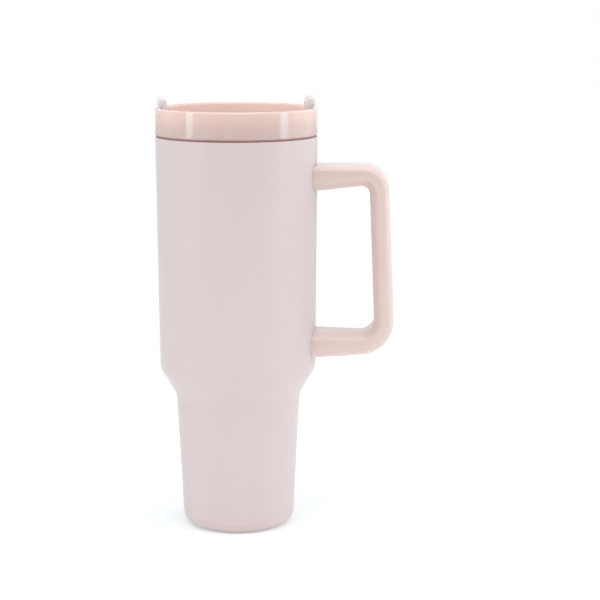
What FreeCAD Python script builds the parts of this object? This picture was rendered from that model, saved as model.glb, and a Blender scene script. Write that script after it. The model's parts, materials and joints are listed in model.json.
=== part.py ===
import FreeCAD, Part
import math
import os
import Sketcher
from FreeCAD import Placement, Rotation, Vector

# An insulated drinking tumbler with a press-in lid and a D-shaped handle.
# Millimetres. The cup stands on z = 0, its axis is Z and the handle reaches out along +X.

# Driving dimensions: name, value, meaning. Angles are in degrees.
DIMENSIONS = [
    ("rim_height", 246.0, "top of the steel cup"),
    ("rim_radius", 50.17, "outside of the shell at the rim"),
    ("shoulder_top_radius", 48.86, "outside of the wide part just above the shoulder"),
    ("shoulder_top_height", 100.95, "corner where the wide part meets the shoulder cone"),
    ("shoulder_angle", 31.0, "shoulder cone, measured from the vertical"),
    ("neck_radius", 38.85, "outside of the narrow part just below the shoulder"),
    ("neck_height", 84.3, "corner where the shoulder cone meets the narrow part"),
    ("foot_radius", 34.83, "outside of the narrow part, carried down to the table"),
    ("shoulder_blend", 13.0, "rounding at the top of the shoulder"),
    ("neck_blend", 17.0, "rounding at the bottom of the shoulder"),
    ("foot_blend", 8.0, "rounding at the foot"),
    ("sheet_thickness", 0.8, "steel sheet"),
    ("vacuum_gap", 3.2, "empty space between the shell and the liner"),
    ("lip_blend", 0.35, "rounding of the drinking lip"),
    ("foot_hole_radius", 24.3, "opening that the bottom disc closes"),
    ("foot_hole_depth", 2.8, "height of the turned-up edge round that opening"),
    ("base_plate_radius", 24.0, "cover disc under the cup"),
    ("pump_hole_radius", 1.5, "hole that the air is drawn out through"),
    ("bead_radius", 3.0, "bead that closes the pump-out hole"),
    ("bead_height", 0.8, "height of the bead below the bottom disc"),
    ("getter_radius", 3.0, "getter capsule"),
    ("getter_height", 1.6, "getter capsule"),
    ("getter_offset", 12.0, "getter capsule's distance from the axis"),
    ("arm_start", 44.0, "the arms are drawn from here and trimmed to the shell"),
    ("handle_top", 229.1, "top face of the upper arm, at the grip"),
    ("handle_top_drop", 0.6, "how much lower that face is at the shell"),
    ("grip_top_reach", 93.9, "outer face of the grip, carried up to the top face"),
    ("grip_foot_reach", 98.9, "outer face of the grip, carried down to the bottom face"),
    ("handle_foot", 112.2, "bottom face of the lower arm at the grip"),
    ("handle_foot_drop", 3.5, "how much lower the bottom face is at the shell"),
    ("gap_top", 216.6, "underside of the upper arm at the grip"),
    ("gap_top_drop", 4.0, "how much lower that underside is at the shell"),
    ("gap_top_reach", 82.55, "inner face of the grip at the upper arm"),
    ("gap_foot", 123.95, "upper side of the lower arm at the grip"),
    ("gap_foot_rise", 0.9, "how much higher that side is at the shell"),
    ("gap_foot_reach", 86.25, "inner face of the grip at the lower arm"),
    ("outer_top_round", 16.0, "corner of the handle, outside, above"),
    ("outer_foot_round", 21.0, "corner of the handle, outside, below"),
    ("inner_top_round", 5.0, "corner of the finger gap, above"),
    ("inner_foot_round", 9.5, "corner of the finger gap, below"),
    ("handle_root_half", 14.8, "half the handle's width at the shell"),
    ("handle_end_half", 12.0, "half the handle's width at its far end"),
    ("inner_bevel", 4.6, "bevel round the finger gap"),
    ("outer_bevel", 2.6, "bevel round the outside of the handle"),
    ("handle_soft_edge", 1.3, "rounding of the bevels' edges"),
    ("handle_clearance", 0.15, "gap between the handle's ends and the shell"),
    ("bracket_reach", 63.0, "how far the welded brackets reach from the axis"),
    ("bracket_width", 11.0, "welded brackets"),
    ("bracket_height", 7.0, "welded brackets"),
    ("upper_bracket_height", 221.0, "middle of the upper bracket"),
    ("lower_bracket_height", 116.6, "middle of the lower bracket"),
    ("socket_clearance", 0.2, "gap between a bracket and the handle's socket"),
    ("screw_reach", 58.0, "distance of the handle screws from the axis"),
    ("screw_radius", 1.95, "shank of the handle screws"),
    ("screw_head_radius", 3.4, "head of the handle screws"),
    ("screw_head_height", 1.8, "head of the handle screws"),
    ("screw_hole_radius", 2.05, "clearance and tapped holes"),
    ("screw_well_radius", 3.6, "wells for the heads and their plugs"),
    ("screw_well_roof", 4.7, "roof of a well, below the middle of its bracket"),
    ("screw_plug_height", 1.0, "soft plugs over the screw heads"),
    ("collar_radius", 50.1, "outside of the lid's collar"),
    ("collar_inner_radius", 47.4, "inside of the lid's collar"),
    ("collar_bottom", 247.3, "underside of the collar"),
    ("collar_top", 263.7, "top of the collar"),
    ("collar_outer_blend", 0.8, "rounding of the collar's top, outside"),
    ("collar_inner_blend", 1.1, "rounding of the collar's top, inside"),
    ("collar_foot_blend", 0.4, "rounding under the collar"),
    ("deck_top", 252.4, "floor of the lid's recess"),
    ("deck_thickness", 2.4, "floor of the lid's recess"),
    ("skirt_bottom", 226.0, "lower edge of the skirt that goes into the mouth"),
    ("skirt_radius", 44.4, "outside of the skirt"),
    ("skirt_thickness", 2.6, "wall of the skirt"),
    ("skirt_blend", 1.0, "rounding of the skirt's lower edge"),
    ("gasket_seat_radius", 43.4, "neck of the skirt that the gasket sits round"),
    ("gasket_bottom", 236.0, "lower edge of the gasket"),
    ("gasket_flange_radius", 49.3, "gasket flange under the collar"),
    ("gasket_flange_height", 1.1, "gasket flange under the collar"),
    ("fin_radius", 45.05, "tips of the gasket's fins"),
    ("fin_rise", 0.6, "slope of a fin"),
    ("lower_fin", 239.0, "middle of the lower fin"),
    ("upper_fin", 243.0, "middle of the upper fin"),
    ("boss_radius", 4.0, "pivot boss that the cover turns on"),
    ("boss_top", 255.3, "top of the pivot boss"),
    ("boss_bottom", 245.5, "underside of the pivot boss"),
    ("pilot_radius", 1.5, "hole for the pivot screw"),
    ("pilot_bottom", 247.5, "end of the hole for the pivot screw"),
    ("straw_distance", 21.0, "straw hole's distance from the axis"),
    ("straw_angle", 150.0, "straw hole's direction, from +X towards +Y"),
    ("straw_hole_radius", 6.4, "hole in the deck for the grommet"),
    ("straw_bore_radius", 4.5, "bore of the grommet"),
    ("grommet_top_radius", 8.2, "upper flange of the grommet"),
    ("grommet_foot_radius", 7.6, "lower flange of the grommet"),
    ("grommet_top_height", 0.5, "upper flange of the grommet"),
    ("grommet_foot_height", 0.8, "lower flange of the grommet"),
    ("vent_radius", 1.0, "vent hole that lets air in while drinking"),
    ("vent_distance", 18.0, "vent hole's distance from the axis, towards -Y"),
    ("sip_distance", 35.8, "drinking hole's distance from the axis, towards -Y"),
    ("sip_length", 18.0, "drinking hole, along the rim"),
    ("sip_width", 7.0, "drinking hole, across"),
    ("seal_width", 1.5, "soft ring round the drinking hole"),
    ("seal_depth", 1.0, "how far the ring is let into the deck"),
    ("seal_height", 0.45, "how far the ring stands above the deck"),
    ("stop_distance", 30.0, "stop pin's distance from the axis"),
    ("stop_angle", 100.0, "stop pin's direction, from +X towards +Y"),
    ("stop_radius", 1.5, "stop pin that limits the cover's turn"),
    ("stop_height", 1.5, "stop pin above the deck"),
    ("stop_clearance", 0.4, "gap between the stop pin and its track"),
    ("cover_turn", 120.0, "the cover's turn from straw to drinking"),
    ("cover_radius", 46.8, "rotating cover"),
    ("cover_bottom", 253.2, "underside of the rotating cover"),
    ("cover_thickness", 2.0, "rotating cover"),
    ("cover_bore_radius", 4.05, "hole in the cover for the pivot boss"),
    ("cover_edge_blend", 0.6, "rounding of the cover's edge"),
    ("track_depth", 1.2, "stop track in the cover's underside"),
    ("window_inner_radius", 12.0, "inner end of the cover's window"),
    ("window_outer_radius", 43.2, "outer end of the cover's window"),
    ("window_sweep", 36.0, "angle that the cover's window spans"),
    ("window_corner", 2.5, "rounding of the window's corners"),
    ("ear_angle", 8.5, "direction of the right ear with the cover set to straw"),
    ("ear_sweep", 20.0, "angle that a finger ear spans"),
    ("ear_web_inner", 44.0, "inner side of an ear's web"),
    ("ear_web_outer", 46.8, "outer side of an ear's web"),
    ("ear_foot_radius", 43.0, "inner side of an ear where it leaves the collar"),
    ("ear_foot_height", 265.2, "height where an ear leaves the collar"),
    ("ear_tip_radius", 44.5, "inner side of an ear's tip"),
    ("ear_tip_height", 271.2, "inner side of an ear's tip"),
    ("ear_top", 272.0, "top of an ear, outside"),
    ("ear_outer_radius", 48.8, "outer side of an ear"),
    ("ear_lip_height", 264.6, "underside of an ear's overhang"),
    ("ear_blend", 1.2, "rounding of an ear's edges"),
    ("pivot_screw_radius", 1.45, "shank of the pivot screw"),
    ("pivot_head_radius", 3.2, "head of the pivot screw"),
    ("pivot_head_height", 2.0, "head of the pivot screw"),
    ("pivot_screw_end", 248.0, "lower end of the pivot screw"),
    ("washer_radius", 7.0, "friction washer"),
    ("washer_bore_radius", 1.6, "friction washer"),
    ("washer_thickness", 0.6, "friction washer"),
    ("cap_radius", 9.0, "cap over the pivot screw"),
    ("cap_wall", 1.5, "cap over the pivot screw"),
    ("cap_gap", 0.4, "gap between the cap and the cover"),
    ("cap_blend", 0.9, "rounding of the cap's edge"),
]

SLACK = 30.0  # how far a cutting outline runs past the material that it cuts
FLAT_ENOUGH = 0.95  # faces whose normals agree more than this don't make a crease


class Size:
    """A number, kept together with the spreadsheet expression that it comes from."""

    def __init__(self, text, number):
        self.text = text
        self.number = number

    def join(self, sign, other, number):
        return Size(f"({self.text} {sign} {other.text})", number)

    def __add__(self, other):
        other = as_size(other)
        return self.join("+", other, self.number + other.number)

    def __sub__(self, other):
        other = as_size(other)
        return self.join("-", other, self.number - other.number)

    def __mul__(self, other):
        other = as_size(other)
        return self.join("*", other, self.number * other.number)

    def __truediv__(self, other):
        other = as_size(other)
        return self.join("/", other, self.number / other.number)

    def __neg__(self):
        return as_size(0) - self

    def cos(self):
        return Size(f"cos({self.text})", math.cos(math.radians(self.number)))

    def sin(self):
        return Size(f"sin({self.text})", math.sin(math.radians(self.number)))

    def tan(self):
        return Size(f"tan({self.text})", math.tan(math.radians(self.number)))


def as_size(value):
    return value if isinstance(value, Size) else Size(str(float(value)), float(value))


def write_sheet(document):
    """Put the driving dimensions into a spreadsheet and return them by name."""
    sheet = document.addObject("Spreadsheet::Sheet", "Sizes")
    sizes = {}
    for row, (name, value, meaning) in enumerate(DIMENSIONS, start=1):
        sheet.set(f"A{row}", meaning)
        sheet.set(f"B{row}", str(value))
        sheet.setAlias(f"B{row}", name)
        sizes[name] = Size(f"Sizes.{name}", value)
    document.recompute()
    return sizes


# ---- helpers for bodies, sketches and features ----

def new_body(document, name):
    body = document.addObject("PartDesign::Body", name)
    body.Label = name
    return body


def origin_plane(body, role):
    return next(part for part in body.Origin.OriginFeatures if part.Role == role)


def new_sketch(body, role, name):
    sketch = body.newObject("Sketcher::SketchObject", name)
    sketch.AttachmentSupport = (origin_plane(body, role), [""])
    sketch.MapMode = "FlatFace"
    sketch.Visibility = False
    return sketch


def raise_sketch(sketch, height):
    """Move a sketch on the XY plane up to a height."""
    sketch.AttachmentOffset = Placement(Vector(0, 0, height.number), Rotation())
    sketch.setExpression("AttachmentOffset.Base.z", height.text)


def turn_sketch(sketch, angle):
    """Turn a sketch on the XZ plane about the Z axis."""
    sketch.AttachmentOffset = Placement(Vector(), Rotation(Vector(0, 1, 0), angle.number))
    sketch.setExpression("AttachmentOffset.Rotation.Angle", angle.text)


def pin_point(sketch, geometry, end, across, up):
    """Tie a point of the sketch to the sheet. Zero is tied to the sketch's own axis."""
    for kind, axis, size in (("DistanceX", -2, across), ("DistanceY", -1, up)):
        if size.number == 0:
            sketch.addConstraint(Sketcher.Constraint("PointOnObject", geometry, end, axis))
        else:
            index = sketch.addConstraint(Sketcher.Constraint(kind, geometry, end, size.number))
            sketch.setExpression(f"Constraints[{index}]", size.text)


def add_polygon(sketch, points):
    """Draw a closed outline through points given as (across, up)."""
    points = [(as_size(across), as_size(up)) for across, up in points]
    corners = [Vector(across.number, up.number, 0) for across, up in points]
    first = sketch.GeometryCount
    for index, corner in enumerate(corners):
        following = corners[(index + 1) % len(corners)]
        sketch.addGeometry(Part.LineSegment(corner, following), False)
    for index in range(len(corners)):
        following = first + (index + 1) % len(corners)
        sketch.addConstraint(Sketcher.Constraint("Coincident", first + index, 2, following, 1))
    for index, (across, up) in enumerate(points):
        pin_point(sketch, first + index, 1, across, up)


def add_circle(sketch, across, up, radius):
    across, up = as_size(across), as_size(up)
    centre = Vector(across.number, up.number, 0)
    circle = sketch.addGeometry(Part.Circle(centre, Vector(0, 0, 1), radius.number), False)
    pin_point(sketch, circle, 3, across, up)
    index = sketch.addConstraint(Sketcher.Constraint("Radius", circle, radius.number))
    sketch.setExpression(f"Constraints[{index}]", radius.text)


def set_size(feature, name, size):
    """Set a feature's property from a size, and bind it to the sheet."""
    setattr(feature, name, size.number)
    feature.setExpression(name, size.text)


def add_turned(body, kind, name, points, sweep=None, angle=None):
    """A Revolution or a Groove of an outline given as (radius, height)."""
    sketch = new_sketch(body, "XZ_Plane", f"{name}_sketch")
    if angle is not None:
        turn_sketch(sketch, angle)
    add_polygon(sketch, points)
    feature = body.newObject(f"PartDesign::{kind}", name)
    feature.Profile = sketch
    feature.ReferenceAxis = (sketch, ["V_Axis"])
    if sweep is None:
        feature.Angle = 360
    else:
        feature.Midplane = True
        set_size(feature, "Angle", sweep)
    body.Document.recompute()
    return feature


def add_pad(body, name, sketch, length, centred=False):
    feature = body.newObject("PartDesign::Pad", name)
    feature.Profile = sketch
    feature.Midplane = centred
    set_size(feature, "Length", length)
    body.Document.recompute()
    return feature


def add_pocket(body, name, sketch, length, upwards):
    """Cut down from the sketch, or upwards, and make sure that material is gone."""
    before = body.Shape.Volume
    feature = body.newObject("PartDesign::Pocket", name)
    feature.Profile = sketch
    feature.Reversed = upwards
    set_size(feature, "Length", length)
    body.Document.recompute()
    assert feature.Shape.Volume < before, name
    return feature


def add_dressing(body, kind, name, edges, size):
    """A Fillet or a Chamfer on the given edges of the body's last feature."""
    base = body.Tip
    names = [f"Edge{number}" for number, edge in enumerate(base.Shape.Edges, start=1) if edges(edge)]
    assert names, name
    feature = body.newObject(f"PartDesign::{kind}", name)
    feature.Base = (base, names)
    set_size(feature, "Radius" if kind == "Fillet" else "Size", size)
    body.Document.recompute()
    return feature


def rings(*places):
    """Pick whole circular edges about Z by (radius, height)."""
    def is_ring(edge):
        if not isinstance(edge.Curve, Part.Circle):
            return False
        return any(abs(edge.Curve.Radius - radius.number) < 0.02
                   and abs(edge.Curve.Center.z - height.number) < 0.02
                   for radius, height in places)
    return is_ring


def round_ring(body, name, radius, height, blend):
    return add_dressing(body, "Fillet", name, rings((radius, height)), blend)


def creases(shape, wanted):
    """Pick the edges of a shape where two faces meet at an angle, if they are also wanted."""
    def is_crease(edge):
        faces = shape.ancestorsOfType(edge, Part.Face)
        if len(faces) != 2 or not wanted(edge):
            return False
        middle = edge.valueAt((edge.FirstParameter + edge.LastParameter) / 2)
        normals = [face.normalAt(*face.Surface.parameter(middle)) for face in faces]
        return abs(normals[0].dot(normals[1])) < FLAT_ENOUGH
    return is_crease


def place(body, across=None, along=None, up=None):
    """Move a body, with each coordinate bound to the sheet."""
    wanted = {"x": across, "y": along, "z": up}
    numbers = {axis: size.number if size else 0.0 for axis, size in wanted.items()}
    body.Placement = Placement(Vector(numbers["x"], numbers["y"], numbers["z"]), Rotation())
    for axis, size in wanted.items():
        if size:
            body.setExpression(f"Placement.Base.{axis}", size.text)


# ---- the steel cup ----

def wall_points(size, inset):
    """The cup's wall, inset from the outside of the shell: rim, shoulder, neck."""
    lift = inset * (size["shoulder_angle"] / 2).tan()
    return [
        (size["rim_radius"] - inset, size["rim_height"]),
        (size["shoulder_top_radius"] - inset, size["shoulder_top_height"] + lift),
        (size["neck_radius"] - inset, size["neck_height"] + lift),
    ]


def round_wall(body, size, inset):
    """Round the shoulder of one side of a wall."""
    _, shoulder, neck = wall_points(size, inset)
    round_ring(body, "shoulder_round", *shoulder, size["shoulder_blend"] - inset)
    round_ring(body, "neck_round", *neck, size["neck_blend"] + inset)


def make_outer_shell(document, size):
    body = new_body(document, "outer_shell")
    sheet = size["sheet_thickness"]
    hole = size["foot_hole_radius"]
    depth = size["foot_hole_depth"]
    outside = wall_points(size, as_size(0))
    inside = wall_points(size, sheet)
    foot = [(size["foot_radius"], 0), (hole, 0), (hole, depth), (hole + sheet, depth)]
    floor = [(hole + sheet, sheet), (size["foot_radius"] - sheet, sheet)]
    add_turned(body, "Revolution", "shell", outside + foot + floor + inside[::-1])
    round_wall(body, size, as_size(0))
    round_wall(body, size, sheet)
    round_ring(body, "foot_round", size["foot_radius"], as_size(0), size["foot_blend"])
    inner_blend = size["foot_blend"] - sheet
    round_ring(body, "inner_foot_round", size["foot_radius"] - sheet, sheet, inner_blend)
    round_ring(body, "lip_round", size["rim_radius"], size["rim_height"], size["lip_blend"])


def make_inner_liner(document, size):
    body = new_body(document, "inner_liner")
    sheet = size["sheet_thickness"]
    back = sheet + size["vacuum_gap"]
    front = back + sheet
    under = size["foot_hole_depth"] + size["vacuum_gap"]
    wet = wall_points(size, front)
    dry = wall_points(size, back)
    floor = [(size["foot_radius"] - front, under + sheet), (0, under + sheet), (0, under),
             (size["foot_radius"] - back, under)]
    flange_under = size["rim_height"] - sheet
    flange = [(size["rim_radius"] - back, flange_under), (size["rim_radius"] - sheet, flange_under),
              (size["rim_radius"] - sheet, size["rim_height"])]
    add_turned(body, "Revolution", "liner", wet + floor + dry[:0:-1] + flange)
    round_wall(body, size, front)
    round_wall(body, size, back)
    inner_blend = size["foot_blend"] - sheet
    round_ring(body, "floor_round", size["foot_radius"] - front, under + sheet, inner_blend)
    round_ring(body, "under_round", size["foot_radius"] - back, under, size["foot_blend"])
    round_ring(body, "lip_round", size["rim_radius"] - front, size["rim_height"], size["lip_blend"])


def make_bottom(document, size):
    """The disc that closes the vacuum, its bead, the getter above it and the plate below."""
    depth = size["foot_hole_depth"]
    under = depth - size["sheet_thickness"]
    disc = new_body(document, "vacuum_bottom")
    hole = size["pump_hole_radius"]
    rim = size["foot_hole_radius"]
    add_turned(disc, "Revolution", "disc", [(hole, under), (rim, under), (rim, depth), (hole, depth)])

    bead = new_body(document, "pump_out_seal")
    wide = size["bead_radius"]
    foot = under - size["bead_height"]
    add_turned(bead, "Revolution", "bead",
               [(0, foot), (wide, foot), (wide, under), (hole, under), (hole, depth), (0, depth)])
    round_ring(bead, "bead_round", wide, foot, size["bead_height"] / 2)

    getter = new_body(document, "getter")
    radius, height = size["getter_radius"], size["getter_height"]
    add_turned(getter, "Revolution", "capsule", [(0, 0), (radius, 0), (radius, height), (0, height)])
    round_ring(getter, "capsule_round", radius, height, height / 3)
    place(getter, across=size["getter_offset"], up=depth)

    plate = new_body(document, "base_plate")
    radius, height = size["base_plate_radius"], size["sheet_thickness"]
    add_turned(plate, "Revolution", "plate", [(0, 0), (radius, 0), (radius, height), (0, height)])
    round_ring(plate, "plate_round", radius, as_size(0), height / 2)


# ---- the handle and what holds it ----

def trim_to_shell(body, size, clearance):
    """Cut away all that lies inside the shell's wide part."""
    top = size["rim_height"]
    bottom = size["shoulder_top_height"]
    groove = [(0, bottom), (size["shoulder_top_radius"] + clearance, bottom),
              (size["rim_radius"] + clearance, top), (0, top)]
    before = body.Shape.Volume
    add_turned(body, "Groove", "shell_trim", groove)
    assert body.Shape.Volume < before


def make_bracket(document, size, name, height):
    body = new_body(document, name)
    half_width, half_height = size["bracket_width"] / 2, size["bracket_height"] / 2
    sketch = new_sketch(body, "XY_Plane", "block_sketch")
    raise_sketch(sketch, height - half_height)
    near, far = size["arm_start"], size["bracket_reach"]
    add_polygon(sketch, [(near, -half_width), (far, -half_width), (far, half_width), (near, half_width)])
    add_circle(sketch, size["screw_reach"], 0, size["screw_hole_radius"])
    add_pad(body, "block", sketch, size["bracket_height"])
    trim_to_shell(body, size, as_size(0))


def handle_outline(size):
    """The handle seen from the side, before its corners are rounded."""
    start = size["arm_start"]
    return [
        (start, size["handle_top"] - size["handle_top_drop"]),
        (size["grip_top_reach"], size["handle_top"]),
        (size["grip_foot_reach"], size["handle_foot"]),
        (start, size["handle_foot"] - size["handle_foot_drop"]),
        (start, size["gap_foot"] + size["gap_foot_rise"]),
        (size["gap_foot_reach"], size["gap_foot"]),
        (size["gap_top_reach"], size["gap_top"]),
        (start, size["gap_top"] - size["gap_top_drop"]),
    ]


def cross_edges(across, up):
    """Pick the edges that run along Y through a point of the side view."""
    def is_cross(edge):
        middle = edge.BoundBox.Center
        thin = edge.BoundBox.XLength < 0.01 and edge.BoundBox.ZLength < 0.01
        return thin and abs(middle.x - across.number) < 0.02 and abs(middle.z - up.number) < 0.02
    return is_cross


def on_side(edge, size):
    """True for an edge that lies in one of the handle's two slanting side faces."""
    start, end = size["arm_start"].number, size["grip_foot_reach"].number
    root, tip = size["handle_root_half"].number, size["handle_end_half"].number
    for vertex in edge.Vertexes:
        share = (vertex.Point.x - start) / (end - start)
        if abs(abs(vertex.Point.y) - (root + share * (tip - root))) > 0.05:
            return False
    return edge.BoundBox.XMax > start + 0.01


def is_inner(edge, size):
    """True for an edge on the finger gap's side of the handle."""
    box = edge.BoundBox
    margin = size["inner_bevel"].number + 0.1
    within_reach = box.XMax < size["gap_foot_reach"].number + margin
    below_top = box.ZMax < size["gap_top"].number + margin
    above_foot = box.ZMin > size["gap_foot"].number - margin
    return within_reach and below_top and above_foot


def slant_sides(body, size):
    """Narrow the handle evenly from its root to its far end."""
    start, end = size["arm_start"], size["grip_foot_reach"]
    root, tip = size["handle_root_half"], size["handle_end_half"]
    sketch = new_sketch(body, "XY_Plane", "sides_sketch")
    for sign in (1, -1):
        add_polygon(sketch, [(start, root * sign), (end, tip * sign),
                             (end, (root + SLACK) * sign), (start, (root + SLACK) * sign)])
    add_pocket(body, "sides", sketch, size["rim_height"], upwards=True)


def cut_socket(body, size, height):
    """The socket that takes a bracket, and the screw's hole and well below it."""
    gap = size["socket_clearance"]
    half_width = size["bracket_width"] / 2 + gap
    floor = height - size["bracket_height"] / 2 - gap
    far = size["bracket_reach"] + gap
    name = f"socket_{round(height.number)}"
    sketch = new_sketch(body, "XY_Plane", f"{name}_sketch")
    raise_sketch(sketch, floor)
    near = size["arm_start"]
    add_polygon(sketch, [(near, -half_width), (far, -half_width), (far, half_width), (near, half_width)])
    add_pocket(body, name, sketch, size["bracket_height"] + gap * 2, upwards=True)
    roof = height - size["screw_well_roof"]
    for part, radius, top in (("hole", size["screw_hole_radius"], floor),
                              ("well", size["screw_well_radius"], roof)):
        sketch = new_sketch(body, "XY_Plane", f"{name}_{part}_sketch")
        raise_sketch(sketch, top)
        add_circle(sketch, size["screw_reach"], 0, radius)
        add_pocket(body, f"{name}_{part}", sketch, size["bracket_height"], upwards=False)


def make_handle(document, size):
    body = new_body(document, "handle")
    outline = handle_outline(size)
    sketch = new_sketch(body, "XZ_Plane", "outline_sketch")
    add_polygon(sketch, outline)
    add_pad(body, "outline", sketch, size["handle_root_half"] * 2 + 1, centred=True)
    slant_sides(body, size)
    corners = (("outer_top", 1), ("outer_foot", 2), ("inner_foot", 5), ("inner_top", 6))
    for name, number in corners:
        edges = cross_edges(*outline[number])
        add_dressing(body, "Fillet", f"{name}_corner", edges, size[f"{name}_round"])
    add_dressing(body, "Chamfer", "inner_edge",
                 lambda edge: on_side(edge, size) and is_inner(edge, size), size["inner_bevel"])
    add_dressing(body, "Chamfer", "outer_edge",
                 lambda edge: on_side(edge, size) and not is_inner(edge, size), size["outer_bevel"])
    start = size["arm_start"].number
    soften = creases(body.Tip.Shape, lambda edge: edge.BoundBox.XMax > start + 0.01)
    add_dressing(body, "Fillet", "soft_edges", soften, size["handle_soft_edge"])
    trim_to_shell(body, size, size["handle_clearance"])
    for height in ("upper_bracket_height", "lower_bracket_height"):
        cut_socket(body, size, size[height])


def make_handle_screw(document, size, name, height):
    """A screw that goes up through the arm into the bracket."""
    body = new_body(document, name)
    shank, head = size["screw_radius"], size["screw_head_radius"]
    seat = -size["screw_well_roof"]
    foot = seat - size["screw_head_height"]
    tip = size["bracket_height"] / 2 - 0.5
    add_turned(body, "Revolution", "screw",
               [(0, foot), (head, foot), (head, seat), (shank, seat), (shank, tip), (0, tip)])
    round_ring(body, "head_round", head, foot, size["screw_head_height"] / 4)
    place(body, across=size["screw_reach"], up=height)


def make_screw_plug(document, size, name, height):
    body = new_body(document, name)
    radius, thickness = size["screw_well_radius"], size["screw_plug_height"]
    top = -size["screw_well_roof"] - size["screw_head_height"]
    foot = top - thickness
    add_turned(body, "Revolution", "plug", [(0, foot), (radius, foot), (radius, top), (0, top)])
    round_ring(body, "plug_round", radius, foot, thickness / 3)
    place(body, across=size["screw_reach"], up=height)


# ---- the lid ----

def lid_outline(size):
    """Half of the lid's section: collar, deck, pivot boss and skirt."""
    deck_under = size["deck_top"] - size["deck_thickness"]
    skirt_inner = size["skirt_radius"] - size["skirt_thickness"]
    collar = [
        (size["collar_radius"], size["collar_bottom"]),
        (size["collar_radius"], size["collar_top"]),
        (size["collar_inner_radius"], size["collar_top"]),
        (size["collar_inner_radius"], size["deck_top"]),
    ]
    boss = [
        (size["boss_radius"], size["deck_top"]),
        (size["boss_radius"], size["boss_top"]),
        (size["pilot_radius"], size["boss_top"]),
        (size["pilot_radius"], size["pilot_bottom"]),
        (0, size["pilot_bottom"]),
        (0, size["boss_bottom"]),
        (size["boss_radius"], size["boss_bottom"]),
        (size["boss_radius"], deck_under),
    ]
    skirt = [
        (skirt_inner, deck_under),
        (skirt_inner, size["skirt_bottom"]),
        (size["skirt_radius"], size["skirt_bottom"]),
        (size["skirt_radius"], size["gasket_bottom"]),
        (size["gasket_seat_radius"], size["gasket_bottom"]),
        (size["gasket_seat_radius"], size["collar_bottom"]),
    ]
    return collar + boss + skirt


def polar(size, distance, angle):
    """A place on the lid, given by the names of its distance and its angle."""
    return size[distance] * size[angle].cos(), size[distance] * size[angle].sin()


def sip_rectangle(size, margin):
    half_length, half_width = size["sip_length"] / 2 + margin, size["sip_width"] / 2 + margin
    return [(-half_length, -half_width), (half_length, -half_width),
            (half_length, half_width), (-half_length, half_width)]


def upright_edges_near(across, along, reach):
    """Pick the upright edges within a reach of a place."""
    def is_upright(edge):
        box = edge.BoundBox
        thin = box.XLength < 0.01 and box.YLength < 0.01
        return thin and math.hypot(box.Center.x - across, box.Center.y - along) < reach
    return is_upright


def cut_sip_hole(body, size):
    """The drinking hole, with a wider step at the top for its soft ring."""
    distance = size["sip_distance"]
    for name, margin, depth in (("sip_step", size["seal_width"], size["seal_depth"]),
                                ("sip_hole", as_size(0), size["deck_thickness"])):
        sketch = new_sketch(body, "XY_Plane", f"{name}_sketch")
        raise_sketch(sketch, size["deck_top"])
        corners = [(across, up - distance) for across, up in sip_rectangle(size, margin)]
        add_polygon(sketch, corners)
        add_pocket(body, name, sketch, depth, upwards=False)
        half_length, half_width = size["sip_length"] / 2 + margin, size["sip_width"] / 2 + margin
        corner_reach = math.hypot(half_length.number, half_width.number)

        def is_corner(edge, half=half_length.number):
            near = upright_edges_near(0, -distance.number, corner_reach + 0.01)
            return near(edge) and abs(abs(edge.BoundBox.Center.x) - half) < 0.01

        add_dressing(body, "Fillet", f"{name}_round", is_corner, half_width - 0.02)


def cut_deck_hole(body, size, name, centre, radius):
    sketch = new_sketch(body, "XY_Plane", f"{name}_sketch")
    raise_sketch(sketch, size["deck_top"])
    add_circle(sketch, *centre, radius)
    add_pocket(body, name, sketch, size["deck_thickness"], upwards=False)


def make_lid_body(document, size):
    body = new_body(document, "lid_body")
    add_turned(body, "Revolution", "lid", lid_outline(size))
    round_ring(body, "collar_round", size["collar_radius"], size["collar_top"],
               size["collar_outer_blend"])
    round_ring(body, "collar_inner_round", size["collar_inner_radius"], size["collar_top"],
               size["collar_inner_blend"])
    round_ring(body, "collar_foot_round", size["collar_radius"], size["collar_bottom"],
               size["collar_foot_blend"])
    round_ring(body, "skirt_round", size["skirt_radius"], size["skirt_bottom"], size["skirt_blend"])

    straw = polar(size, "straw_distance", "straw_angle")
    cut_deck_hole(body, size, "straw_hole", straw, size["straw_hole_radius"])
    cut_deck_hole(body, size, "vent_hole", (0, -size["vent_distance"]), size["vent_radius"])
    cut_sip_hole(body, size)

    sketch = new_sketch(body, "XY_Plane", "stop_pin_sketch")
    raise_sketch(sketch, size["deck_top"])
    add_circle(sketch, *polar(size, "stop_distance", "stop_angle"), size["stop_radius"])
    add_pad(body, "stop_pin", sketch, size["stop_height"])


def make_lid_gasket(document, size):
    """A flange under the collar, and a sleeve with two fins round the skirt."""
    body = new_body(document, "lid_gasket")
    seat, sleeve, tip = size["gasket_seat_radius"], size["skirt_radius"], size["fin_radius"]
    flange_under = size["collar_bottom"] - size["gasket_flange_height"]
    outline = [
        (size["gasket_flange_radius"], flange_under),
        (size["gasket_flange_radius"], size["collar_bottom"]),
        (seat, size["collar_bottom"]),
        (seat, size["gasket_bottom"]),
        (sleeve, size["gasket_bottom"]),
    ]
    for name in ("lower_fin", "upper_fin"):
        middle, rise = size[name], size["fin_rise"]
        outline += [(sleeve, middle - rise), (tip, middle), (tip, middle + rise / 2),
                    (sleeve, middle + rise * 1.5)]
    outline.append((sleeve, flange_under))
    add_turned(body, "Revolution", "gasket", outline)


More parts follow.
